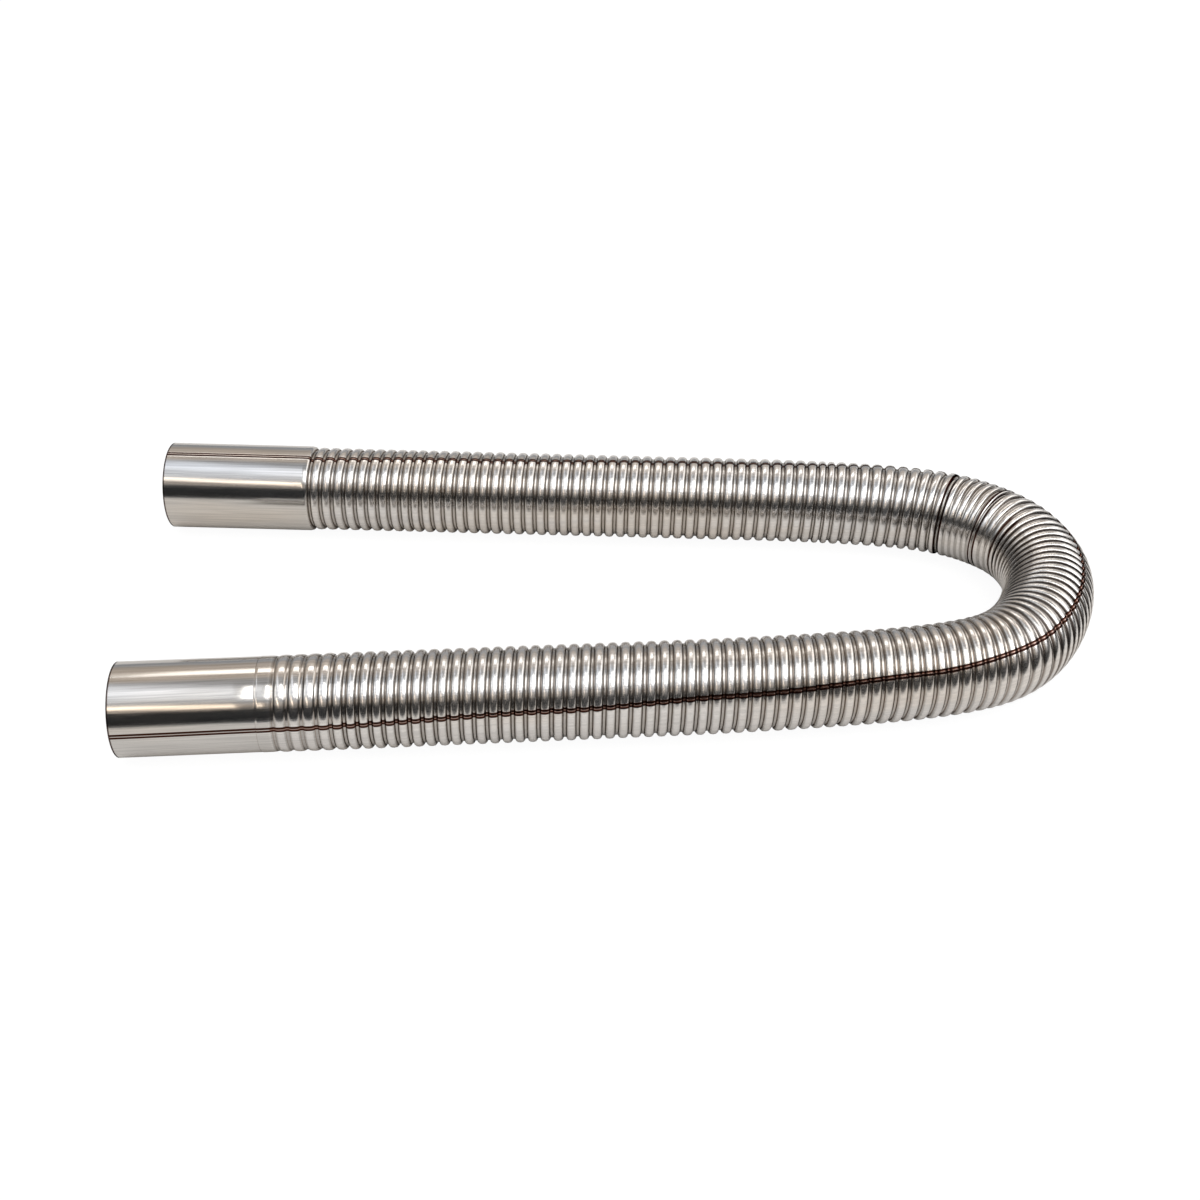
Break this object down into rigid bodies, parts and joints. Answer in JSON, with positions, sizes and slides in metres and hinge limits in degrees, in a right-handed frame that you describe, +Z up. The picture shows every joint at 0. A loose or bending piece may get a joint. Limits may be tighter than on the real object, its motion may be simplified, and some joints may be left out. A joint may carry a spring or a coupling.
{
  "type": "flexible exhaust hose",
  "caption": "Corrugated stainless steel exhaust hose with plain sleeve ends, bent into a U.",
  "frame": {"origin": "centre of the bounding box on the surface that the hose lies on", "axes": "+Z up from that surface, +X from the two mouths towards the bend, +Y from the narrow end's leg towards the wide end's leg"},
  "size_m": [0.2768, 0.1257, 0.0262],
  "materials": {
    "stainless_tube": "bright rolled stainless sheet, faintly brushed along the tube, with a welded lengthwise seam"
  },
  "bodies": {
    "root": {"exhaust_hose": "stainless_tube"}
  },
  "joints": []
}
